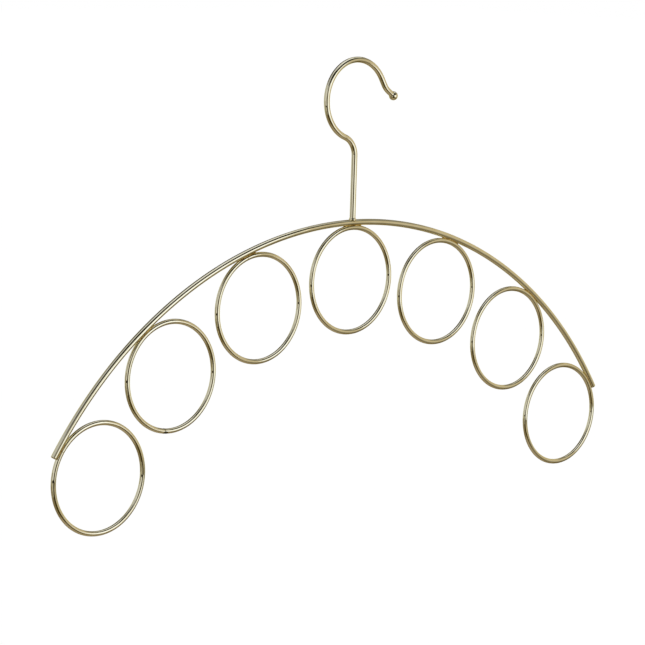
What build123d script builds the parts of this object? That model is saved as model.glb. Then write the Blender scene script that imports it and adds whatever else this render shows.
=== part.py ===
from build123d import *
from math import acos, asin, cos, degrees, radians, sin, sqrt
import os

# Scarf hanger of welded, plated steel wire: an arch with a row of hoops under it and a hook above it.
# Millimetres and degrees. +Z is up, +X runs along the arch and +Y is the way a wardrobe rail runs.
# The origin is the point under the top of the hook where the hanger rests on its rail.

# Arch: one wire bent to a shallow arc
arch_radius = 262.0
arch_wire_diameter = 3.6
arch_end_past_weld = 0.6
cut_end_chamfer = 0.3

# Hoops: equal rings of thinner wire, welded side by side to the underside of the arch
ring_count = 7
ring_inner_diameter = 60.0
ring_wire_diameter = 3.0
ring_clear_gap = 7.5

# Hook: a straight stem, a return bend, the round that takes the rail, and a flick at the tip
hook_inner_diameter = 43.7
hook_wire_diameter = 3.5
stem_length = 38.0
return_bend_radius = 12.0
hook_round_end_angle = 31.0
tip_straight = 4.8
flick_radius = 12.0
flick_turn = 25.0
flick_straight = 2.9
tip_ball_diameter = 5.4

# Welds: how far one wire sinks into the other, and the metal that fills the corner
ring_weld_length = 10.0
ring_weld_set_down = 0.3
ring_weld_bead_diameter = 2.3
ring_weld_bead_end_diameter = 0.9
stem_weld_set_down = 0.4
stem_weld_diameter = 4.4
stem_weld_height = 1.5
stem_weld_depth = 1.0
stem_weld_root_diameter = 4.0

# Radii of the wires, and of the rings and the hook along the middle of their wire
arch_wire_radius = arch_wire_diameter / 2
ring_wire_radius = ring_wire_diameter / 2
hook_wire_radius = hook_wire_diameter / 2
ring_radius = ring_inner_diameter / 2 + ring_wire_radius
hook_radius = hook_inner_diameter / 2 + hook_wire_radius

# Heights: the hook hangs from the origin, its bend is tangent to its round, and the arch is under the stem
hook_centre_z = -hook_inner_diameter / 2
bend_top_angle = degrees(acos(return_bend_radius / (hook_radius + return_bend_radius)))
bend_drop = sqrt((hook_radius + return_bend_radius) ** 2 - return_bend_radius**2)
stem_top_z = hook_centre_z - bend_drop
arch_crown_z = stem_top_z - stem_length
arch_centre = Vector(0, 0, arch_crown_z - arch_wire_radius - arch_radius)

# The rings' centres lie on a circle about the arch's centre, as far apart as their size and clear gap ask,
# and the arch runs a little way past the last ring's weld
weld_seam_radius = arch_radius - arch_wire_radius
ring_orbit_radius = weld_seam_radius + ring_weld_set_down - ring_wire_radius - ring_radius
ring_outer_diameter = 2 * (ring_radius + ring_wire_radius)
ring_pitch_angle = 2 * degrees(asin((ring_outer_diameter + ring_clear_gap) / 2 / ring_orbit_radius))
ring_gap_half_angle = degrees(asin(ring_weld_length / 2 / ring_radius))
middle_ring = (ring_count + 1) / 2
arch_end_overhang = ring_weld_length / 2 + arch_end_past_weld
arch_half_angle = (ring_count - middle_ring) * ring_pitch_angle + degrees(arch_end_overhang / arch_radius)


def outward(angle):
    """Unit vector in the XZ plane, at an angle from +Z towards +X."""
    return Vector(sin(radians(angle)), 0, cos(radians(angle)))


def along(angle):
    """Unit vector square to outward(angle), the way the angle grows."""
    return Vector(cos(radians(angle)), 0, -sin(radians(angle)))


def wire_section(centre, radius, angle):
    """Plane across a wire that runs round a circle, at an angle on that circle."""
    return Plane(centre + outward(angle) * radius, x_dir=outward(angle), z_dir=along(angle))


def save(part, name):
    """Label a finished piece and write it to its own file."""
    part.label = name
    export_step(part, f"parts/{name}.step")


os.makedirs("parts", exist_ok=True)

# Arch wire, with both ends cut square and lightly chamfered: each chamfer is a short cone on the bent length
bent_half_angle = arch_half_angle - degrees(cut_end_chamfer / arch_radius)
with BuildPart() as arch_wire:
    with BuildSketch(wire_section(arch_centre, arch_radius, -bent_half_angle)):
        Circle(arch_wire_radius)
    revolve(axis=Axis(arch_centre, (0, 1, 0)), revolution_arc=2 * bent_half_angle)
    for side in (-1, 1):
        end_section = wire_section(arch_centre, arch_radius, side * bent_half_angle)
        with Locations(Plane(end_section.origin, z_dir=end_section.z_dir * side)):
            Cone(
                arch_wire_radius,
                arch_wire_radius - cut_end_chamfer,
                cut_end_chamfer,
                align=(Align.CENTER, Align.CENTER, Align.MIN),
            )
save(arch_wire.part, "arch_wire")

# Hook wire, bent in the plane of the arch, its foot coped to sit on the arch
with BuildPart() as hook_wire:
    with BuildLine(Plane.XZ) as hook_path:
        stem = Line((0, arch_crown_z - stem_weld_set_down), (0, stem_top_z))
        bend = JernArc(stem @ 1, stem % 1, return_bend_radius, bend_top_angle)
        hook_sweep_angle = 180 + bend_top_angle - hook_round_end_angle
        round_part = JernArc(bend @ 1, bend % 1, hook_radius, -hook_sweep_angle)
        tip_run = PolarLine(round_part @ 1, tip_straight, direction=round_part % 1)
        flick = JernArc(tip_run @ 1, tip_run % 1, flick_radius, flick_turn)
        flick_run = PolarLine(flick @ 1, flick_straight, direction=flick % 1)
    with BuildSketch(Plane(hook_path.line @ 0, z_dir=hook_path.line % 0)):
        Circle(hook_wire_radius)
    sweep(path=hook_path.line)
    add(arch_wire.part, mode=Mode.SUBTRACT)
save(hook_wire.part, "hook_wire")
hook_tip = hook_path.line @ 1
hook_tip_direction = hook_path.line % 1

# Round bead that blunts the tip, with a flat as wide as the wire that it closes
tip_ball_radius = tip_ball_diameter / 2
tip_ball_seat = sqrt(tip_ball_radius**2 - hook_wire_radius**2)
tip_ball_centre = hook_tip + hook_tip_direction * tip_ball_seat
with BuildPart(Plane(tip_ball_centre, z_dir=hook_tip_direction)) as hook_tip_ball:
    Sphere(tip_ball_radius)
    split(bisect_by=Plane(hook_tip, z_dir=hook_tip_direction), keep=Keep.TOP)
save(hook_tip_ball.part, "hook_tip_ball")

# Weld at the stem's foot: a flared collar, cut out by the stem above and the arch below
collar_rim = (stem_weld_diameter / 2, arch_crown_z)
collar_top = (hook_wire_radius, arch_crown_z + stem_weld_height)
collar_root = (stem_weld_root_diameter / 2, arch_crown_z - stem_weld_depth)
with BuildPart() as hook_weld:
    with BuildSketch(Plane.XZ):
        with BuildLine():
            Polyline((0, collar_top[1]), (0, collar_root[1]), collar_root, collar_rim)
            TangentArc(collar_rim, collar_top, tangent=(0, 1))
            Line(collar_top, (0, collar_top[1]))
        make_face()
    revolve(axis=Axis.Z)
    add(hook_wire.part, mode=Mode.SUBTRACT)
    add(arch_wire.part, mode=Mode.SUBTRACT)
save(hook_weld.part, "hook_weld")

# Rings and their welds: each ring is an open hoop whose two ends meet in the weld that holds it to the arch
bead_top = (0, ring_weld_bead_diameter / 2)
bead_start = (-ring_weld_length / 2, ring_weld_bead_end_diameter / 2)
bead_end = (ring_weld_length / 2, ring_weld_bead_end_diameter / 2)
for number in range(1, ring_count + 1):
    station = (number - middle_ring) * ring_pitch_angle
    ring_centre = arch_centre + outward(station) * ring_orbit_radius
    ring_axis = Axis(ring_centre, (0, 1, 0))
    gap_start = station - ring_gap_half_angle
    gap_end = station + ring_gap_half_angle

    with BuildPart() as ring:
        with BuildSketch(wire_section(ring_centre, ring_radius, gap_end)):
            Circle(ring_wire_radius)
        revolve(axis=ring_axis, revolution_arc=360 - 2 * ring_gap_half_angle)
    save(ring.part, f"ring_{number}")

    seam = arch_centre + outward(station) * weld_seam_radius
    seam_plane = Plane(seam, x_dir=along(station), z_dir=(0, -1, 0))
    with BuildPart() as ring_weld:
        with BuildSketch(wire_section(ring_centre, ring_radius, gap_start)):
            Circle(ring_wire_radius)
        revolve(axis=ring_axis, revolution_arc=2 * ring_gap_half_angle)
        with BuildSketch(seam_plane):
            with BuildLine():
                Polyline(bead_start, (bead_start[0], 0), (bead_end[0], 0), bead_end)
                ThreePointArc(bead_end, bead_top, bead_start)
            make_face()
        revolve(axis=Axis(seam, along(station)))
        add(arch_wire.part, mode=Mode.SUBTRACT)
    save(ring_weld.part, f"ring_weld_{number}")
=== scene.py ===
# %% [markdown]
# # A scarf hanger of welded, gold plated wire
#
# The real thing is nine bent wires and the welds between them: a shallow arch, seven hoops under it and a
# hook above it. After welding, the whole frame is polished and plated in a light gold.
#
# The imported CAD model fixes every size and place. This script bends finer wires on the same middle lines,
# adds the small things a welder and a plater leave behind, and photographs the result in a white studio.

# %% Load the CAD frame
from math import acos, asin, ceil, cos, degrees, pi, radians, sin, sqrt, tan

import bpy
from mathutils import Matrix, Vector
from mathutils.kdtree import KDTree


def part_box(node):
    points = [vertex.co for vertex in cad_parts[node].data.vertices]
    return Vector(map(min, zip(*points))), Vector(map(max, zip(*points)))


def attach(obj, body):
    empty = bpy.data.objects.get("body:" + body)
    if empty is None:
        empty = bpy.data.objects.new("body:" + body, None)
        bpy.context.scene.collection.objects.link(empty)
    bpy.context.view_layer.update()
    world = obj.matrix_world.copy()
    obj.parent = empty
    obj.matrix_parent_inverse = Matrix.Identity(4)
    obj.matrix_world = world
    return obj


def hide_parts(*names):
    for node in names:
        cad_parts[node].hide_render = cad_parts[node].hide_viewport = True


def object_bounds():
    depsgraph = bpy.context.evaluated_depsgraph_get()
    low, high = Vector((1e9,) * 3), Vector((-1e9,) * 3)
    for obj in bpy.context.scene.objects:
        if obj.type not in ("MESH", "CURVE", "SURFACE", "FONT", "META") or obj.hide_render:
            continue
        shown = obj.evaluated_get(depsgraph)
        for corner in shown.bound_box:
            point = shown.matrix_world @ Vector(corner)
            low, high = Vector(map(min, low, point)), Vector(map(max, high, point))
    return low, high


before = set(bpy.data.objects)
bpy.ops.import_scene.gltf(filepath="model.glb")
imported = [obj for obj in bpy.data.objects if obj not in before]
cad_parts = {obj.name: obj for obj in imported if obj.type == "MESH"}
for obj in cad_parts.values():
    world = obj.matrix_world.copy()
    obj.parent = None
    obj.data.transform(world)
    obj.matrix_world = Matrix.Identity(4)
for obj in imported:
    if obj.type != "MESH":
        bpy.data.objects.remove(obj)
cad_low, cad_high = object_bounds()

MM = 0.001
print("CAD box in mm:", [round(x / MM, 2) for x in (*cad_low, *cad_high)])

# %% [markdown]
# ## Sizes
#
# What can be measured on the CAD pieces is measured there, so this script follows them if they change. A
# hoop's box gives its centre and its wire, and the circle through three hoop centres gives the centre of
# the arch. The hook is bent from arcs that no box shows, so its bending plan is written out here as numbers.

# %% Measure the arch and the hoops
RING_COUNT = sum(1 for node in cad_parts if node.startswith("ring_") and "weld" not in node)
MIDDLE_RING = (RING_COUNT + 1) // 2


def box_size(node):
    """Width, depth and height of a CAD piece."""
    low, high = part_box(node)
    return high - low


def ring_centre(number):
    """Centre of a hoop. Its box is whole at the bottom, so the centre is one outer radius above that."""
    low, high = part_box(f"ring_{number}")
    return Vector(((low.x + high.x) / 2, 0, low.z + (high.x - low.x) / 2))


ring_wire_radius = box_size("ring_1").y / 2
ring_radius = box_size("ring_1").x / 2 - ring_wire_radius
first, middle, last = (ring_centre(n) for n in (1, MIDDLE_RING, RING_COUNT))

# The circle through the middle hoop's centre and the two outer ones, by the rule of the chord and its rise
half_chord = (last.x - first.x) / 2
rise = middle.z - (first.z + last.z) / 2
ring_orbit_radius = (half_chord**2 + rise**2) / (2 * rise)
arch_centre = Vector((0, 0, middle.z - ring_orbit_radius))
ring_pitch = acos((first.z - arch_centre.z) / ring_orbit_radius) / (MIDDLE_RING - 1)

arch_wire_radius = box_size("arch_wire").y / 2
arch_crown_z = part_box("arch_wire")[1].z
arch_radius = arch_crown_z - arch_wire_radius - arch_centre.z
print("hoop radius", round(ring_radius / MM, 3), "wire", round(ring_wire_radius / MM, 3))
print("arch radius", round(arch_radius / MM, 3), "wire", round(arch_wire_radius / MM, 3))
print("arch centre", arch_centre / MM)
print("pitch of the hoops in degrees", round(degrees(ring_pitch), 3))

# %% Write down the hook's bending plan
HOOK_INNER_RADIUS = 21.85 * MM
RETURN_BEND_RADIUS = 12.0 * MM
ROUND_END_ANGLE = radians(31.0)
TIP_STRAIGHT = 4.8 * MM
FLICK_RADIUS = 12.0 * MM
FLICK_TURN = radians(25.0)
FLICK_STRAIGHT = 2.9 * MM

hook_wire_radius = box_size("hook_wire").y / 2
hook_radius = HOOK_INNER_RADIUS + hook_wire_radius
hook_centre_z = -HOOK_INNER_RADIUS
return_bend_turn = acos(RETURN_BEND_RADIUS / (hook_radius + RETURN_BEND_RADIUS))
stem_top_z = hook_centre_z - sqrt((hook_radius + RETURN_BEND_RADIUS) ** 2 - RETURN_BEND_RADIUS**2)
round_turn = pi + return_bend_turn - ROUND_END_ANGLE
print("stem from", round(arch_crown_z / MM, 2), "to", round(stem_top_z / MM, 2))

# %% [markdown]
# ## Bending a wire
#
# A wire is a round section drawn along a line. In Blender that could be a curve with a bevel, but here it
# is done as on a bending machine: start from the cut end, a filled circle, and let edit-mode operators feed
# it on. Extrude makes the straight runs and Spin makes the bends, and the cut ends are eased by a few small
# extrusions that change size.
#
# While it is bent, the wire notes where its middle line goes. Those notes come in handy for the finish.

# %% The wire bender
WIRE_SIDES = 40
# Length of a step in a bend, and on a straight run, where nothing turns
FEED = 1.0 * MM
STRAIGHT_FEED = 4.0 * MM
EDGE_STEPS = 3
EDGE_GUARD = 0.05 * MM
WELDING_DISTANCE = 0.001 * MM
WIRE_SMOOTH_ANGLE = radians(40)


class WireBender:
    """One wire, open for editing, with the place and heading of its growing end. It stays in the XZ plane.

    Next to each eased edge comes one very short step, so that the smooth shading of the edge ends there and
    doesn't spread along the wire as a false highlight.
    """

    def __init__(self, name, radius, start, heading, edge):
        bpy.ops.object.select_all(action="DESELECT")
        bpy.ops.mesh.primitive_circle_add(
            vertices=WIRE_SIDES,
            radius=radius - edge,
            fill_type="NGON",
            location=start,
            rotation=heading.to_track_quat("Z", "Y").to_euler(),
        )
        self.object = bpy.context.object
        self.object.name = self.object.data.name = name
        bpy.ops.object.transform_apply()
        self.radius, self.edge = radius, edge
        self.place, self.heading, self.run = Vector(start), heading.normalized(), 0.0
        self.line = [(self.place.copy(), self.heading.copy(), self.run)]
        bpy.ops.object.mode_set(mode="EDIT")
        bpy.ops.mesh.select_all(action="SELECT")
        self.ease(radius - edge, opening=True)
        self.step(EDGE_GUARD)

    def step(self, length, factor=1.0):
        """Extrude the end by a length and scale it about the middle line."""
        move = self.heading * length
        bpy.ops.mesh.extrude_region_move(TRANSFORM_OT_translate={"value": tuple(move)})
        self.place += move
        self.run += length
        if factor != 1.0:
            bpy.ops.transform.resize(value=(factor,) * 3, center_override=tuple(self.place))
        self.line.append((self.place.copy(), self.heading.copy(), self.run))

    def ease(self, size, opening):
        """Round the edge of a cut end over a quarter circle, in small extrusions."""
        for number in range(1, EDGE_STEPS + 1):
            before, after = ((pi / 2) * (number - 1) / EDGE_STEPS, (pi / 2) * number / EDGE_STEPS)
            if opening:
                length = self.edge * (cos(before) - cos(after))
                wanted = self.radius - self.edge + self.edge * sin(after)
            else:
                length = self.edge * (sin(after) - sin(before))
                wanted = self.radius - self.edge + self.edge * cos(after)
            self.step(length, wanted / size)
            size = wanted

    def straight(self, length):
        steps = max(1, ceil(length / STRAIGHT_FEED))
        for _ in range(steps):
            self.step(length / steps)

    def bend(self, radius, turn):
        """Spin the end about a centre beside it. A positive turn goes anticlockwise, seen from the front."""
        side = 1 if turn > 0 else -1
        left = Vector((-self.heading.z, 0, self.heading.x))
        centre = self.place + left * side * radius
        steps = max(2, ceil(abs(turn) * radius / FEED))
        bpy.ops.mesh.spin(steps=steps, angle=turn, center=tuple(centre), axis=(0, 1, 0))
        for number in range(1, steps + 1):
            swing = Matrix.Rotation(-turn * number / steps, 3, "Y")
            here = centre + swing @ (self.place - centre)
            run = self.run + abs(turn) * radius * number / steps
            self.line.append((here, swing @ self.heading, run))
        here, heading, self.run = self.line[-1]
        self.place, self.heading = here.copy(), heading.copy()

    def finish(self):
        """Ease the last cut end, turn all faces outwards and leave edit mode."""
        self.step(EDGE_GUARD)
        self.ease(self.radius, opening=False)
        bpy.ops.mesh.select_all(action="SELECT")
        bpy.ops.mesh.remove_doubles(threshold=WELDING_DISTANCE)
        bpy.ops.mesh.normals_make_consistent(inside=False)
        bpy.ops.object.mode_set(mode="OBJECT")
        bpy.ops.object.shade_smooth_by_angle(angle=WIRE_SMOOTH_ANGLE)
        faces = len(self.object.data.polygons)
        print(self.object.name, "length in mm", round(self.run / MM, 2), "faces", faces)
        return self.object


# %% [markdown]
# ## A ruler along each wire
#
# Drawing a wire through a die leaves fine lines along it. For such a finish the texture must follow the
# bends, so each point of the mesh gets a three-part address: how far it lies outwards and sideways from the
# middle line, and how far along the wire it is. For a noise texture that reads it, every wire is straight.

# %% Write the address on the mesh
ADDRESS = "wire_address"


def write_address(piece, line, offset=0.0):
    """Store the three parts of the address for each point.

    The line is the wire's notes: place, heading and run, step by step. The offset gives each wire a stretch
    of texture of its own.
    """
    tree = KDTree(len(line))
    for index, (place, _, _) in enumerate(line):
        tree.insert(place, index)
    tree.balance()
    layer = piece.data.attributes.new(ADDRESS, "FLOAT_VECTOR", "POINT")
    for vertex, slot in zip(piece.data.vertices, layer.data):
        place, heading, run = line[tree.find(vertex.co)[1]]
        away = vertex.co - place
        outwards = away.dot(Vector((-heading.z, 0, heading.x)))
        slot.vector = (outwards, away.y, run + away.dot(heading) + offset)


# %% [markdown]
# ## The arch
#
# The arch is one wire bent to a shallow arc. Its two ends are cut square and only lightly eased, and that
# is how they look on the real hanger, just past the last welds.

# %% Bend the arch
CUT_EDGE = 0.3 * MM
END_TRIM = 0.06 * MM


def outward(angle):
    """Direction in the XZ plane at an angle from straight up, towards +X."""
    return Vector((sin(angle), 0, cos(angle)))


def along(angle):
    """Direction square to that, the way the angle grows."""
    return Vector((cos(angle), 0, -sin(angle)))


# The arch's lowest point is the inner edge of its cut end, and that fixes how far the arc runs. The edge is
# round here and a little fuller than the CAD's flat one, so each end is trimmed by a hair to stay in its box
arch_end_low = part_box("arch_wire")[0].z - arch_centre.z
arch_half_angle = acos(arch_end_low / (arch_radius - arch_wire_radius + CUT_EDGE))
arch_end_straight = CUT_EDGE + EDGE_GUARD
arch_bent_half = arch_half_angle - (arch_end_straight + END_TRIM) / arch_radius
arch = WireBender(
    "arch",
    arch_wire_radius,
    arch_centre + outward(-arch_bent_half) * arch_radius - along(-arch_bent_half) * arch_end_straight,
    along(-arch_bent_half),
    CUT_EDGE,
)
arch.bend(arch_radius, -2 * arch_bent_half)
arch_piece = arch.finish()
write_address(arch_piece, arch.line)
print("arch half angle", round(degrees(arch_half_angle), 3))

# %% [markdown]
# ## The hook
#
# The hook starts inside its weld on the crown of the arch, runs straight up, turns back in a small bend and
# goes round over the rail. A short flick lifts its tip, so that it slides on to the rail without catching.

# %% Bend the hook
STEM_SET_DOWN = 0.4 * MM
stem_foot = Vector((0, 0, arch_crown_z - STEM_SET_DOWN))
hook = WireBender("hook", hook_wire_radius, stem_foot, Vector((0, 0, 1)), CUT_EDGE)
hook.straight(stem_top_z - hook.place.z)
hook.bend(RETURN_BEND_RADIUS, return_bend_turn)
hook.bend(hook_radius, -round_turn)
hook.straight(TIP_STRAIGHT)
hook.bend(FLICK_RADIUS, FLICK_TURN)
hook.straight(FLICK_STRAIGHT - CUT_EDGE - EDGE_GUARD)
hook_piece = hook.finish()
write_address(hook_piece, hook.line, offset=1.0)
print("hook tip at", hook.place / MM)

# %% [markdown]
# ## The bead on the tip
#
# A round bead blunts the tip. It could be left as a sphere stuck on the wire, but on the real hanger it is
# formed on the wire, with a small throat where the two meet. So the cap of the sphere round the wire is
# deleted and the rim left open there is drawn back along the wire in shrinking steps.

# %% Form the bead
BEAD_SEGMENTS = 48
BEAD_RINGS = 32
THROAT_LENGTH = 0.9 * MM
THROAT_STEPS = 4
# Radius of the opening in the sphere and of the throat's far end, as shares of the wire's radius
OPENING_SHARE = 1.06
THROAT_END_SHARE = 0.99

bead_radius = box_size("hook_tip_ball").y / 2
bead_seat = sqrt(bead_radius**2 - hook_wire_radius**2)
bead_centre = hook.place + hook.heading * bead_seat
bpy.ops.object.select_all(action="DESELECT")
bpy.ops.mesh.primitive_uv_sphere_add(
    segments=BEAD_SEGMENTS,
    ring_count=BEAD_RINGS,
    radius=bead_radius,
    location=bead_centre,
    rotation=hook.heading.to_track_quat("Z", "Y").to_euler(),
)
bead_piece = bpy.context.object
bead_piece.name = bead_piece.data.name = "tip_bead"
bpy.ops.object.transform_apply()
bpy.ops.object.mode_set(mode="EDIT")
bpy.ops.mesh.select_all(action="DESELECT")
bpy.ops.object.mode_set(mode="OBJECT")
for vertex in bead_piece.data.vertices:
    from_centre = vertex.co - bead_centre
    depth = from_centre.dot(hook.heading)
    from_axis = (from_centre - hook.heading * depth).length
    vertex.select = depth < 0 and from_axis < hook_wire_radius * OPENING_SHARE
bpy.ops.object.mode_set(mode="EDIT")
bpy.ops.mesh.delete(type="VERT")
bpy.ops.mesh.select_all(action="DESELECT")
bpy.ops.mesh.select_non_manifold(extend=False, use_boundary=True)
bpy.ops.object.mode_set(mode="OBJECT")
rim = [v.co.copy() for v in bead_piece.data.vertices if v.select]
rim_centre = sum(rim, Vector()) / len(rim)
rim_radius = (rim[0] - rim_centre).length
bpy.ops.object.mode_set(mode="EDIT")
size = rim_radius
throat_end_radius = hook_wire_radius * THROAT_END_SHARE
throat_step = -hook.heading * THROAT_LENGTH / THROAT_STEPS
for number in range(1, THROAT_STEPS + 1):
    share = number / THROAT_STEPS
    bpy.ops.mesh.extrude_region_move(TRANSFORM_OT_translate={"value": tuple(throat_step)})
    wanted = throat_end_radius + (rim_radius - throat_end_radius) * (1 - share) ** 2
    centre = rim_centre - hook.heading * THROAT_LENGTH * share
    bpy.ops.transform.resize(value=(wanted / size,) * 3, center_override=tuple(centre))
    size = wanted
bpy.ops.mesh.edge_face_add()
bpy.ops.mesh.select_all(action="SELECT")
bpy.ops.mesh.normals_make_consistent(inside=False)
bpy.ops.object.mode_set(mode="OBJECT")
bpy.ops.object.shade_smooth_by_angle(angle=WIRE_SMOOTH_ANGLE)
print("bead radius in mm", round(bead_radius / MM, 3), "rim", round(rim_radius / MM, 3), "points", len(rim))

# %% [markdown]
# ## The hoops
#
# Each hoop is one length of thinner wire rolled round until its two cut ends meet. The joint is a hairline,
# and it lies at the top, under the weld. The photographed hanger has one exception: its second hoop was
# turned before it was welded, and the joint shows at its foot. One hoop is bent at the top of the arch,
# then copied and swung about the centre of the arch to the other six places. Every copy has its own mesh.

# %% Bend the middle hoop and copy it
BUTT_GAP = 0.06 * MM
BUTT_EDGE = 0.1 * MM
TURNED_HOOP = 2
# Where its joint lies, as seen from its middle: an angle from straight up towards +X
FOOT_JOINT_ANGLE = radians(-172.1)


def select_only(piece):
    bpy.ops.object.select_all(action="DESELECT")
    piece.select_set(True)
    bpy.context.view_layer.objects.active = piece


def copy_of(piece, name):
    """A copy of a piece with a mesh of its own, selected."""
    select_only(piece)
    bpy.ops.object.duplicate()
    copy = bpy.context.object
    copy.name = copy.data.name = name
    return copy


def swing_copy(piece, name, number, stretch=1.0, turn=0.0):
    """A copy of a piece made for the middle hoop, taken to another hoop's station.

    It is stretched along the arch, turned about the hoop's middle and swung about the centre of the arch.
    """
    copy = copy_of(piece, name)
    swing = Matrix.Rotation((number - MIDDLE_RING) * ring_pitch, 4, "Y")
    swung = Matrix.Translation(arch_centre) @ swing @ Matrix.Translation(-arch_centre)
    turned = Matrix.Translation(middle) @ Matrix.Rotation(turn, 4, "Y") @ Matrix.Translation(-middle)
    copy.matrix_world = swung @ turned @ Matrix.Diagonal((stretch, 1, 1, 1))
    bpy.ops.object.transform_apply()
    return copy


butt_straight = BUTT_EDGE + EDGE_GUARD
gap_angle = (BUTT_GAP / 2 + butt_straight) / ring_radius
ring = WireBender(
    f"hoop_{MIDDLE_RING}",
    ring_wire_radius,
    middle + outward(gap_angle) * ring_radius - along(gap_angle) * butt_straight,
    along(gap_angle),
    BUTT_EDGE,
)
ring.bend(ring_radius, 2 * gap_angle - 2 * pi)
ring_pieces = {MIDDLE_RING: ring.finish()}
write_address(ring_pieces[MIDDLE_RING], ring.line, offset=2.0)
for number in range(1, RING_COUNT + 1):
    if number != MIDDLE_RING:
        turn = 0.0
        if number == TURNED_HOOP:
            turn = FOOT_JOINT_ANGLE - (number - MIDDLE_RING) * ring_pitch
        ring_pieces[number] = swing_copy(ring_pieces[MIDDLE_RING], f"hoop_{number}", number, turn=turn)
        for slot in ring_pieces[number].data.attributes[ADDRESS].data:
            slot.vector = slot.vector + Vector((0, 0, number))
print("hoops:", sorted(p.name for p in ring_pieces.values()))

# %% [markdown]
# ## The welds under the arch
#
# A small run of weld metal fills the cleft between the arch and each hoop. It is fullest where the wires
# touch and thins out to both sides, where the hoop curves away. The torch moves in small steps, and each
# step leaves a ripple. So the run starts as a small circle at one end and is extruded along the seam,
# swelling and shrinking a little at every ripple, and a fine displacement makes it look poured.

# %% Lay the weld under the middle of the arch
WELD_LENGTH = 14.0 * MM
WELD_HALF_WIDTH = 1.36 * MM
WELD_END_HALF_WIDTH = 0.4 * MM
WELD_RIPPLES = 12
WELD_RIPPLE_SHARE = 0.055
WELD_STEPS = 96
WELD_SIDES = 28
WELD_HEIGHT_SHARE = 0.86
WELD_SMOOTH_ANGLE = radians(60)

seam_z = arch_crown_z - 2 * arch_wire_radius
sag_of_ring = (WELD_LENGTH / 2) ** 2 / (2 * ring_radius)


def weld_width(share):
    """Half width of the run of weld at a share of its half length, from -1 to 1."""
    fullness = sqrt(max(0.0, 1 - share**2))
    ripple = 1 - WELD_RIPPLE_SHARE * abs(sin(pi * WELD_RIPPLES * (share + 1) / 2))
    return (WELD_END_HALF_WIDTH + (WELD_HALF_WIDTH - WELD_END_HALF_WIDTH) * fullness) * ripple


def weld_centre(share):
    """The run's middle line sinks half as much as the hoop curves away."""
    return Vector((share * WELD_LENGTH / 2, 0, seam_z - share**2 * sag_of_ring / 2))


def roughen(piece, size, strength):
    """Fine unevenness, as of poured metal, worked into the mesh."""
    clouds = bpy.data.textures.new(f"{piece.name}_clouds", "CLOUDS")
    clouds.noise_scale = size
    select_only(piece)
    modifier = piece.modifiers.new("uneven", "DISPLACE")
    modifier.texture = clouds
    modifier.strength = strength
    modifier.mid_level = 0.5
    modifier.texture_coords = "LOCAL"
    bpy.ops.object.modifier_apply(modifier=modifier.name)


bpy.ops.object.select_all(action="DESELECT")
size = weld_width(-1) / 2
bpy.ops.mesh.primitive_circle_add(
    vertices=WELD_SIDES,
    radius=size,
    fill_type="NGON",
    location=weld_centre(-1) - Vector((size, 0, 0)),
    rotation=(0, pi / 2, 0),
)
weld_piece = bpy.context.object
weld_piece.name = weld_piece.data.name = f"hoop_weld_{MIDDLE_RING}"
bpy.ops.object.transform_apply()
bpy.ops.object.mode_set(mode="EDIT")
bpy.ops.mesh.select_all(action="SELECT")
place = weld_centre(-1) - Vector((size, 0, 0))
for number in range(WELD_STEPS + 1):
    share = 2 * number / WELD_STEPS - 1
    move = weld_centre(share) - place
    bpy.ops.mesh.extrude_region_move(TRANSFORM_OT_translate={"value": tuple(move)})
    place = weld_centre(share)
    factor = weld_width(share) / size
    bpy.ops.transform.resize(value=(1, factor, factor), center_override=tuple(place))
    size = weld_width(share)
bpy.ops.mesh.extrude_region_move(TRANSFORM_OT_translate={"value": (size / 2, 0, 0)})
bpy.ops.transform.resize(value=(1, 0.5, 0.5), center_override=tuple(place))
bpy.ops.mesh.select_all(action="SELECT")
bpy.ops.transform.resize(value=(1, 1, WELD_HEIGHT_SHARE), center_override=(0, 0, seam_z))
bpy.ops.mesh.normals_make_consistent(inside=False)
bpy.ops.object.mode_set(mode="OBJECT")
bpy.ops.object.shade_smooth_by_angle(angle=WELD_SMOOTH_ANGLE)
print("weld size in mm", weld_piece.dimensions / MM)

# %% Copy the weld to every hoop
# The two outer hoops sit close to the cut ends of the arch, so their runs are shorter
END_WELD_SHARE = 0.77
WELD_LUMP_SIZE = 0.9 * MM
WELD_LUMP_HEIGHT = 0.16 * MM

weld_pieces = {MIDDLE_RING: weld_piece}
for number in range(1, RING_COUNT + 1):
    if number != MIDDLE_RING:
        stretch = END_WELD_SHARE if number in (1, RING_COUNT) else 1.0
        weld_pieces[number] = swing_copy(weld_piece, f"hoop_weld_{number}", number, stretch)
for number in sorted(weld_pieces):
    roughen(weld_pieces[number], WELD_LUMP_SIZE, WELD_LUMP_HEIGHT)
print("welds:", sorted(p.name for p in weld_pieces.values()))

# %% [markdown]
# ## The joint at the foot of the second hoop
#
# Where the second hoop's ends meet, a low ring of flash goes round the wire as a fine dark line. On the lower
# front a fleck is painted shade: a dark spot that stands in for the wire's darker reflection where it kinks
# at the joint. The flash is a slim torus sunk into the wire. The fleck is shaped like the big runs, so it is
# a small copy of one, sunk in until only its back shows.

# %% Add the flash and the fleck
FLASH_RADIUS = 0.3 * MM
FLASH_SINK = 0.2 * MM
FLASH_SEGMENTS = 48
FLASH_SIDES = 12
# The painted shade fleck's length, width and height, as shares of the big run's
SHADE_FLECK_SIZE = (0.3, 0.7, 0.6)
SHADE_FLECK_OFFSET = -0.8 * MM
SHADE_FLECK_TILT = radians(58)
SHADE_FLECK_SINK = 0.45 * MM
SHADE_FLECK_LUMP_SIZE = 0.6 * MM
SHADE_FLECK_LUMP_HEIGHT = 0.06 * MM

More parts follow.
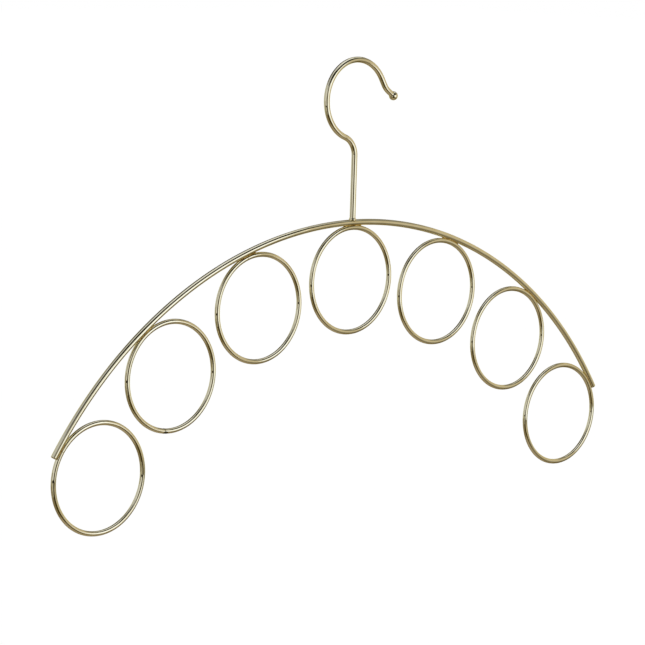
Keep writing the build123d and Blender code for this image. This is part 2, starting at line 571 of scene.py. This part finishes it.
# At the joint: X runs along the wire and Z points away from the hoop's middle
at_joint = (
    Matrix.Translation(ring_centre(TURNED_HOOP))
    @ Matrix.Rotation(FOOT_JOINT_ANGLE, 4, "Y")
    @ Matrix.Translation((0, 0, ring_radius))
)
bpy.ops.object.select_all(action="DESELECT")
bpy.ops.mesh.primitive_torus_add(
    major_segments=FLASH_SEGMENTS,
    minor_segments=FLASH_SIDES,
    major_radius=ring_wire_radius - FLASH_SINK,
    minor_radius=FLASH_RADIUS,
)
flash_piece = bpy.context.object
flash_piece.matrix_world = at_joint @ Matrix.Rotation(pi / 2, 4, "Y")
bpy.ops.object.transform_apply()
# The fleck is painted shade: a dark spot for the wire's darker reflection where it kinks at the joint
joint_and_shade_piece = copy_of(weld_piece, f"hoop_{TURNED_HOOP}_joint")
joint_and_shade_piece.matrix_world = (
    at_joint
    @ Matrix.Translation((SHADE_FLECK_OFFSET, 0, 0))
    @ Matrix.Rotation(SHADE_FLECK_TILT, 4, "X")
    @ Matrix.Translation((0, 0, ring_wire_radius - SHADE_FLECK_SINK))
    @ Matrix.Diagonal((*SHADE_FLECK_SIZE, 1))
    @ Matrix.Translation((0, 0, -seam_z))
)
bpy.ops.object.transform_apply()
flash_piece.select_set(True)
bpy.ops.object.join()
bpy.ops.object.shade_smooth_by_angle(angle=WELD_SMOOTH_ANGLE)
roughen(joint_and_shade_piece, SHADE_FLECK_LUMP_SIZE, SHADE_FLECK_LUMP_HEIGHT)
print("joint size in mm", joint_and_shade_piece.dimensions / MM)

# %% [markdown]
# ## The weld at the foot of the stem
#
# The stem is pressed on to the crown of the arch while a current melts its end, and the metal squeezed out
# stands round it as a small collar. A circle is extruded up the stem, and its size follows a list of heights.

# %% Raise the collar
COLLAR_SIDES = 40
COLLAR_FLASH = 0.42 * MM
COLLAR_LUMP_SIZE = 1.1 * MM
COLLAR_LUMP_HEIGHT = 0.08 * MM
# Height in mm over the crown, and the share of the flash that stands out there
COLLAR_SHARES = (
    (-1.2, 0.1),
    (-0.8, 0.6),
    (-0.3, 0.9),
    (0.0, 1.0),
    (0.2, 0.96),
    (0.4, 0.76),
    (0.7, 0.46),
    (1.0, 0.2),
    (1.4, -0.05),
)

bpy.ops.object.select_all(action="DESELECT")
foot_height, foot_share = COLLAR_SHARES[0]
size = hook_wire_radius + COLLAR_FLASH * foot_share
foot = (0, 0, arch_crown_z + foot_height * MM)
bpy.ops.mesh.primitive_circle_add(vertices=COLLAR_SIDES, radius=size, fill_type="NGON", location=foot)
collar_piece = bpy.context.object
collar_piece.name = collar_piece.data.name = "stem_weld"
bpy.ops.object.transform_apply()
bpy.ops.object.mode_set(mode="EDIT")
bpy.ops.mesh.select_all(action="SELECT")
for (before, _), (height, share) in zip(COLLAR_SHARES, COLLAR_SHARES[1:]):
    bpy.ops.mesh.extrude_region_move(TRANSFORM_OT_translate={"value": (0, 0, (height - before) * MM)})
    wanted = hook_wire_radius + COLLAR_FLASH * share
    bpy.ops.transform.resize(
        value=(wanted / size, wanted / size, 1), center_override=(0, 0, arch_crown_z + height * MM)
    )
    size = wanted
bpy.ops.mesh.select_all(action="SELECT")
bpy.ops.mesh.normals_make_consistent(inside=False)
bpy.ops.mesh.subdivide(number_cuts=1, smoothness=1.0)
bpy.ops.object.mode_set(mode="OBJECT")
bpy.ops.object.shade_smooth_by_angle(angle=WELD_SMOOTH_ANGLE)
roughen(collar_piece, COLLAR_LUMP_SIZE, COLLAR_LUMP_HEIGHT)
print("collar size in mm", collar_piece.dimensions / MM)

# %% [markdown]
# ## Light gold plating
#
# The wires are drawn smooth, polished and plated. Up close the polish is not perfect: fine lines run along
# the wire, the tone drifts a little from one centimetre to the next, and tiny pits catch light.
#
# All of it is procedural. Three noise textures read the wire's address and set the colour, the roughness
# and a bump.

# %% Make the plating
GOLD_PALE = (0.88, 0.82, 0.61, 1)
GOLD_DEEP = (0.81, 0.735, 0.51, 1)
LINE_WIDTH = 0.22 * MM
LINE_LENGTH = 14 * MM
DRIFT_LENGTH = 9 * MM
GRAIN_SIZE = 0.09 * MM
# Where a piece has no address, its lines are blotches of this size
BLOTCH_SIZE = 0.88 * MM
# Nearly all values of a noise lie between these two
NOISE_LOW = 0.3
NOISE_HIGH = 0.7
WIRE_ROUGHNESS = (0.02, 0.06)
# Heights of the lines and of the grain
WIRE_BUMPS = (0.0015 * MM, 0.0003 * MM)
# Plain metals turn white at a grazing angle. With this tint they keep their colour almost to the edge
EDGE_TINT = (1.0, 0.88, 0.48, 1)


class NodeBench:
    """A material and a short way to add and link its nodes."""

    def __init__(self, name):
        self.material = bpy.data.materials.new(name)
        self.material.use_nodes = True
        self.tree = self.material.node_tree
        self.shader = self.tree.nodes["Principled BSDF"]

    def add(self, kind, inputs=None, **settings):
        node = self.tree.nodes.new(kind)
        for key, value in settings.items():
            setattr(node, key, value)
        for key, value in (inputs or {}).items():
            if isinstance(value, bpy.types.NodeSocket):
                self.tree.links.new(value, node.inputs[key])
            else:
                node.inputs[key].default_value = value
        return node

    def link(self, socket, key):
        self.tree.links.new(socket, self.shader.inputs[key])

    def noise(self, coordinates, sizes, detail, roughness=0.5):
        """A noise whose cells have the given size in metres along each part of the coordinates."""
        mapping = self.add("ShaderNodeMapping", {"Vector": coordinates, "Scale": [1 / s for s in sizes]})
        return self.add(
            "ShaderNodeTexNoise",
            {"Vector": mapping.outputs["Vector"], "Scale": 1.0, "Detail": detail, "Roughness": roughness},
        ).outputs["Fac"]

    def spread(self, value, low, high):
        """Spread a noise's usual values over a range."""
        node = self.add(
            "ShaderNodeMapRange",
            {"Value": value, "From Min": NOISE_LOW, "From Max": NOISE_HIGH, "To Min": low, "To Max": high},
        )
        return node.outputs["Result"]


def plating(name, address, pale, deep, roughness, bumps, drift_length=DRIFT_LENGTH):
    """A plated finish between two tones. It follows the wire's address where the piece has one."""
    bench = NodeBench(name)
    line_height, grain_height = bumps
    if address:
        place = bench.add("ShaderNodeAttribute", attribute_name=ADDRESS).outputs["Vector"]
        line_sizes = (LINE_WIDTH, LINE_WIDTH, LINE_LENGTH)
    else:
        place = bench.add("ShaderNodeTexCoord").outputs["Object"]
        line_sizes = (BLOTCH_SIZE,) * 3
    lines = bench.noise(place, line_sizes, detail=3.0, roughness=0.6)
    drift = bench.noise(place, (drift_length,) * 3, detail=1.0)
    grain = bench.noise(place, (GRAIN_SIZE,) * 3, detail=2.0)

    # A Mix node's colour sockets share names with its number sockets, so they are reached by place: 6 and 7
    share = bench.spread(drift, 0.0, 1.0)
    tone = bench.add("ShaderNodeMix", {0: share, 6: pale, 7: deep}, data_type="RGBA")
    bench.link(tone.outputs[2], "Base Color")
    bench.link(bench.spread(lines, *roughness), "Roughness")
    bench.shader.inputs["Metallic"].default_value = 1.0
    bench.shader.inputs["Specular Tint"].default_value = EDGE_TINT

    line_bump = bench.add("ShaderNodeBump", {"Height": lines, "Strength": 1.0, "Distance": line_height})
    grain_bump = bench.add(
        "ShaderNodeBump",
        {"Height": grain, "Strength": 1.0, "Distance": grain_height, "Normal": line_bump.outputs["Normal"]},
    )
    bench.link(grain_bump.outputs["Normal"], "Normal")
    return bench.material


wire_finish = plating("light_gold_wire", True, GOLD_PALE, GOLD_DEEP, WIRE_ROUGHNESS, WIRE_BUMPS)
bead_finish = plating("light_gold_bead", False, GOLD_PALE, GOLD_DEEP, WIRE_ROUGHNESS, WIRE_BUMPS)
print("wire finish made with", len(wire_finish.node_tree.nodes), "nodes")

# %% [markdown]
# ## Plating over a weld
#
# Weld metal is never polished as well as the wire. It stays a little rough, and the plating over it looks
# deeper and browner. So the recipe is the same, with a darker gold, more roughness, a stronger grain, and
# blotches in place of lines. The tone drifts over a few millimetres only, from gold to the brown of scale
# that was not brushed off before plating.

# %% Make the plating of the welds
WELD_PALE = (0.57, 0.39, 0.12, 1)
WELD_DEEP = (0.17, 0.095, 0.02, 1)
WELD_ROUGHNESS = (0.16, 0.34)
WELD_BUMPS = (0.03 * MM, 0.004 * MM)
WELD_DRIFT_LENGTH = 3 * MM
weld_finish = plating(
    "gold_over_weld", False, WELD_PALE, WELD_DEEP, WELD_ROUGHNESS, WELD_BUMPS, WELD_DRIFT_LENGTH
)

# The flash at the stem's foot is dressed, so it comes out almost as bright as the wire
FOOT_PALE = (0.86, 0.79, 0.57, 1)
FOOT_DEEP = (0.78, 0.69, 0.45, 1)
FOOT_ROUGHNESS = (0.05, 0.12)
FOOT_BUMPS = (0.004 * MM, 0.0006 * MM)
foot_finish = plating("gold_over_foot", False, FOOT_PALE, FOOT_DEEP, FOOT_ROUGHNESS, FOOT_BUMPS)

# In the second hoop's joint the flash ring is a dark joint line, and the fleck is painted shade, a dark spot
# for the wire's darker reflection where it kinks. Both are dark brown and no metal
JOINT_AND_SHADE_PALE = (0.055, 0.042, 0.018, 1)
JOINT_AND_SHADE_DEEP = (0.025, 0.018, 0.007, 1)
JOINT_AND_SHADE_ROUGHNESS = (0.3, 0.45)
JOINT_AND_SHADE_BUMPS = (0.01 * MM, 0.002 * MM)
joint_and_shade_finish = plating("dark_joint_and_painted_shade", False, JOINT_AND_SHADE_PALE, JOINT_AND_SHADE_DEEP, JOINT_AND_SHADE_ROUGHNESS, JOINT_AND_SHADE_BUMPS)
joint_and_shade_finish.node_tree.nodes["Principled BSDF"].inputs["Metallic"].default_value = 0.0
print("weld finishes made")

# %% Dress the pieces and tie them to the frame


def hand_over(piece, node, finish):
    """Give a piece its finish, fix it to the hanger's one body and let it stand for its CAD node."""
    piece.data.materials.clear()
    piece.data.materials.append(finish)
    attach(piece, "root")
    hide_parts(node)


hand_over(arch_piece, "arch_wire", wire_finish)
hand_over(hook_piece, "hook_wire", wire_finish)
hand_over(bead_piece, "hook_tip_ball", bead_finish)
hand_over(collar_piece, "hook_weld", foot_finish)
# The joint piece holds a dark joint line and a fleck of painted shade
hand_over(joint_and_shade_piece, f"ring_{TURNED_HOOP}", joint_and_shade_finish)
for number in range(1, RING_COUNT + 1):
    hand_over(ring_pieces[number], f"ring_{number}", wire_finish)
    hand_over(weld_pieces[number], f"ring_weld_{number}", weld_finish)

# %% [markdown]
# ## A white studio
#
# The hanger is photographed hanging free before white. The world is white to the camera and to what the
# metal mirrors, and a little softer as a light. The floor lies well below, pale, with a share of that white.

# %% World and floor
FLOOR_DROP = 9.2
FLOOR_SIZE = 400.0
SKY_LIGHT = 0.8
FLOOR_WHITE = (0.93, 0.93, 0.93, 1)
FLOOR_ROUGHNESS = 0.9
FLOOR_SPECULAR = 0.1
FLOOR_GLOW = 1.07
# Share of glow in what the camera and the metal see of the floor. The rest is paint and keeps the shadow
FLOOR_GLOW_SHARE = 0.8

world = bpy.data.worlds.new("white_studio")
bpy.context.scene.world = world
world.use_nodes = True
nodes, links = world.node_tree.nodes, world.node_tree.links


def seen_directly(tree):
    """1 for a ray from the camera, a mirror or through glass, and 0 for one that gathers light."""
    path = tree.nodes.new("ShaderNodeLightPath")
    total = path.outputs["Is Camera Ray"]
    for name in ("Is Glossy Ray", "Is Transmission Ray"):
        step = tree.nodes.new("ShaderNodeMath")
        step.operation = "MAXIMUM"
        tree.links.new(total, step.inputs[0])
        tree.links.new(path.outputs[name], step.inputs[1])
        total = step.outputs[0]
    return total


strength = nodes.new("ShaderNodeMapRange")
strength.inputs["To Min"].default_value = SKY_LIGHT
links.new(seen_directly(world.node_tree), strength.inputs["Value"])
links.new(strength.outputs["Result"], nodes["Background"].inputs["Strength"])
nodes["Background"].inputs["Color"].default_value = (1, 1, 1, 1)

bpy.ops.mesh.primitive_plane_add(size=FLOOR_SIZE, location=(0, 0, cad_low.z - FLOOR_DROP))
floor = bpy.context.object
floor.name = "floor"
floor_look = bpy.data.materials.new("pale_floor")
floor_look.use_nodes = True
tree = floor_look.node_tree
paint = tree.nodes["Principled BSDF"]
paint.inputs["Base Color"].default_value = FLOOR_WHITE
paint.inputs["Roughness"].default_value = FLOOR_ROUGHNESS
paint.inputs["Specular IOR Level"].default_value = FLOOR_SPECULAR
glow = tree.nodes.new("ShaderNodeEmission")
share = tree.nodes.new("ShaderNodeMath")
share.operation = "MULTIPLY"
share.inputs[1].default_value = FLOOR_GLOW_SHARE
glow.inputs["Strength"].default_value = FLOOR_GLOW
tree.links.new(seen_directly(tree), share.inputs[0])
blend = tree.nodes.new("ShaderNodeMixShader")
tree.links.new(share.outputs[0], blend.inputs["Fac"])
tree.links.new(paint.outputs["BSDF"], blend.inputs[1])
tree.links.new(glow.outputs["Emission"], blend.inputs[2])
tree.links.new(blend.outputs["Shader"], tree.nodes["Material Output"].inputs["Surface"])
floor.data.materials.append(floor_look)
print("floor at", round(floor.location.z, 3), "m")

# %% [markdown]
# ## The camera
#
# The photograph was taken from a little above and well to the left of the hanger's front, with a long lens.

# %% Place the camera
PHOTO_SIDE_PIXELS = 645
FOCAL_LENGTH_PIXELS = 2848
CAMERA_PLACE = Vector((-1.1544, -1.2339, 0.0905))
CAMERA_YAW = radians(-42.55)
CAMERA_PITCH = radians(8.30)
CAMERA_ROLL = radians(1.72)
SENSOR_WIDTH = 36.0

camera_data = bpy.data.cameras.new("camera")
camera_data.sensor_width = SENSOR_WIDTH
camera_data.lens = FOCAL_LENGTH_PIXELS / PHOTO_SIDE_PIXELS * SENSOR_WIDTH
camera = bpy.data.objects.new("camera", camera_data)
bpy.context.scene.collection.objects.link(camera)
turn = Matrix.Rotation(CAMERA_YAW, 4, "Z") @ Matrix.Rotation(pi / 2 - CAMERA_PITCH, 4, "X")
camera.matrix_world = Matrix.Translation(CAMERA_PLACE) @ turn @ Matrix.Rotation(CAMERA_ROLL, 4, "Z")
bpy.context.scene.camera = camera
bpy.context.scene.view_settings.view_transform = "Standard"
print("lens in mm", round(camera_data.lens, 2))

# %% [markdown]
# ## Cards and soft boxes
#
# Polished metal shows the room, not its own colour. A photographer draws it with cards: dark ones give the
# wires their lines, and pale ones and soft boxes give them their broad sheen. Each card here is a piece of
# a sphere round the hoops, so its size can be read as angles: a bearing from the camera, counted to the
# right, and a height. The sphere is only about a metre in radius. In the photograph the hook mirrors other
# parts of the room than a hoop at the same slant does, and that happens only when the cards stand close.
#
# Only the metal sees the cards, so they stay out of every picture and cast no shadow.
#
# A card starts as one point. Spin draws it up into an arc, and a second Spin sweeps the arc into a patch.
# The cards hang in layers, as in a painting: a few wide ones at the back, and each layer a little nearer.

# %% Set up the cards
STUDIO_CENTRE = sum((ring_centre(n) for n in range(1, RING_COUNT + 1)), Vector()) / RING_COUNT
CARD_DISTANCE = 1.05
CARD_LAYER = 0.007
# Degrees of a card's arc that one step of a spin covers
CARD_STEP = 3


def direction(bearing, height):
    """Unit vector at a bearing to the camera's right and a height above the level, both in degrees."""
    around, up = radians(bearing) + CAMERA_YAW, radians(height)
    return Vector((sin(around) * cos(up), -cos(around) * cos(up), sin(up)))


def glow_material(name, shade):
    look = bpy.data.materials.new(name)
    look.use_nodes = True
    look.node_tree.nodes.clear()
    glow = look.node_tree.nodes.new("ShaderNodeEmission")
    glow.inputs["Color"].default_value = (*shade, 1)
    out = look.node_tree.nodes.new("ShaderNodeOutputMaterial")
    look.node_tree.links.new(glow.outputs["Emission"], out.inputs["Surface"])
    return look


def spin_selected(sweep, axis):
    """Spin what is selected about an axis through the studio's centre, by an angle in degrees."""
    steps = max(2, ceil(abs(sweep) / CARD_STEP))
    bpy.ops.mesh.spin(steps=steps, angle=radians(sweep), center=tuple(STUDIO_CENTRE), axis=tuple(axis))


def card(name, left, right, low, high, shade, layer=0):
    """A patch of the sphere between two bearings and two heights, in one flat shade."""
    bpy.ops.object.select_all(action="DESELECT")
    bpy.ops.mesh.primitive_plane_add(size=1)
    board = bpy.context.object
    board.name = board.data.name = name
    distance = CARD_DISTANCE - layer * CARD_LAYER
    bpy.ops.object.mode_set(mode="EDIT")
    bpy.ops.mesh.select_all(action="SELECT")
    bpy.ops.mesh.merge(type="CENTER")
    bpy.ops.transform.translate(value=tuple(STUDIO_CENTRE + direction(left, low) * distance))
    sideways = direction(left + 90, 0)
    spin_selected(high - low, sideways)
    bpy.ops.mesh.select_all(action="SELECT")
    spin_selected(left - right, (0, 0, 1))
    bpy.ops.object.mode_set(mode="OBJECT")
    board.data.materials.append(glow_material(name, shade))
    board.visible_camera = board.visible_diffuse = board.visible_shadow = board.visible_transmission = False
    points = [vertex.co - STUDIO_CENTRE for vertex in board.data.vertices]
    heights = [round(degrees(asin(point.z / point.length)), 1) for point in points]
    print(f"{name:20} layer {layer} heights {min(heights)} to {max(heights)}")


# %% Hang the wide cards at the back
TOP_WHITE = (0.88, 0.91, 1.0)
COOL_WHITE = (0.65, 0.68, 0.76)
CEILING_GREY = (0.30, 0.29, 0.25)
WALL_GREY = (0.58, 0.60, 0.53)
SAND = (0.32, 0.30, 0.22)
BROWN = (0.22, 0.18, 0.11)
EARTH = (0.36, 0.31, 0.23)

card("top_sheet", -180, 180, 76, 89.9, TOP_WHITE)
card("top_ring", -180, 180, 62, 76, COOL_WHITE)
card("ceiling", -180, 180, 26, 62, CEILING_GREY)
card("walls", -180, 180, -14, 26, WALL_GREY)
card("skirting", -180, 180, -28, -14, SAND)
card("low_ring", -180, 180, -56, -28, BROWN)
card("ground", -180, 180, -89.9, -56, EARTH)

# %% Hang the sheets that brighten a side
PAPER = (0.57, 0.59, 0.64)
SHADED_PAPER = (0.50, 0.52, 0.60)
PLASTER = (0.53, 0.55, 0.54)
WINDOW_WHITE = (0.78, 0.80, 0.85)
WARM_WHITE = (0.61, 0.55, 0.42)
WARM_GREY = (0.48, 0.46, 0.38)
STRAW = (0.62, 0.65, 0.44)
TAN = (0.72, 0.64, 0.50)

card("ceiling_rim", 110, 180, 48, 62, PAPER, 1)
card("top_right_sheet", 105, 180, 62, 84, TOP_WHITE, 1)
card("left_ceiling", -80, -28, 36, 62, SHADED_PAPER, 1)
card("far_left_wall", -118, -80, -10, 34, PLASTER, 1)
card("left_sheet", -80, -18, 5, 36, PAPER, 1)
card("left_window", -52, -18, -6, 28, WINDOW_WHITE, 2)
card("under_window", -50, -18, -20, -6, WARM_GREY, 1)
card("beside_window", -18, -6, -22, 34, WARM_GREY, 1)
card("right_wall", 80, 160, -10, 32, WARM_WHITE, 1)
card("rear_glow", 140, 205, -20, 4, STRAW, 2)
card("over_box", 26, 80, 28, 34, WARM_GREY, 1)
card("low_under_box", 50, 78, -26, -16, TAN, 1)

# %% Hang the dark flags
DUN = (0.27, 0.25, 0.20)
SLATE = (0.18, 0.19, 0.22)
PEAT = (0.14, 0.12, 0.06)
DARK_OLIVE = (0.09, 0.09, 0.04)
OLIVE = (0.09, 0.06, 0.0)
UMBER = (0.055, 0.04, 0.0)
BLACK = (0.0, 0.0, 0.0)

card("ceiling_shade", -22, 104, 34, 66, DARK_OLIVE, 2)
card("ceiling_flag", -8, 92, 35, 60, BLACK, 3)
card("rear_flag", -174, -114, 26, 60, BLACK, 1)
card("rear_flag_low", -180, -137, 16, 30, BLACK, 1)
card("rear_top", -150, -112, 60, 70, PEAT, 2)
card("rear_gap", 162, 195, 6, 34, OLIVE, 3)
card("left_low", -80, -54, -26, 3, BROWN, 2)
card("camera_column", -6, 22, -30, 12, BLACK, 2)
card("over_camera", -6, 24, 12, 34, SLATE, 2)
card("horizon_bar", -45, 2, -10, -7, BLACK, 3)
card("right_flag", 80, 124, -24, -11, DUN, 2)
card("low_rear_flag", 115, 150, -44, -26, OLIVE, 1)
card("low_front", -20, 66, -47, -26, UMBER, 1)
card("low_beside_box", 22, 48, -26, -14, BROWN, 2)
card("beside_box", 22, 31, -14, 26, BROWN, 2)

# %% [markdown]
# The soft boxes are real lamps. Their energy is worked out from the brightness that a mirror should see in
# them. A lamp adds to what lies behind it, so a black card hangs behind each. The lamps are flat and the
# cards are round, so the lamps hang well inside the sphere, where their corners clear the cards.

# %% Set up the soft boxes
LAMP_DISTANCE = 0.88
BOX_WHITE = (0.98, 1.0, 1.0)
STRIP_WHITE = (0.56, 0.67, 1.0)
TOP_BOX_WHITE = (0.86, 0.90, 1.0)


def soft_box(name, left, right, low, high, brightness, white):
    """A rectangular lamp that fills a patch between two bearings and two heights."""
    toward = direction((left + right) / 2, (low + high) / 2)
    width, tall = (2 * LAMP_DISTANCE * tan(radians(x) / 2) for x in (right - left, high - low))
    data = bpy.data.lights.new(name, "AREA")
    data.shape = "RECTANGLE"
    data.size, data.size_y = width, tall
    data.energy = brightness * pi * width * tall
    data.color = white
    lamp = bpy.data.objects.new(name, data)
    lamp.location = STUDIO_CENTRE + toward * LAMP_DISTANCE
    lamp.rotation_euler = toward.to_track_quat("Z", "Y").to_euler()
    lamp.visible_camera = False
    bpy.context.scene.collection.objects.link(lamp)
    print(f"{name:20} {width:.2f} by {tall:.2f} m, {data.energy:.2f} W")


card("behind_box", 31, 80, -14, 22, BLACK, 3)
card("behind_top_box", 30, 74, 22, 29, BLACK, 3)
soft_box("soft_box_right", 31, 80, -14, 22, 0.97, BOX_WHITE)
soft_box("strip_right", 54, 78, -14, 22, 0.56, STRIP_WHITE)
soft_box("soft_box_top", 30, 74, 22, 29, 1.1, TOP_BOX_WHITE)
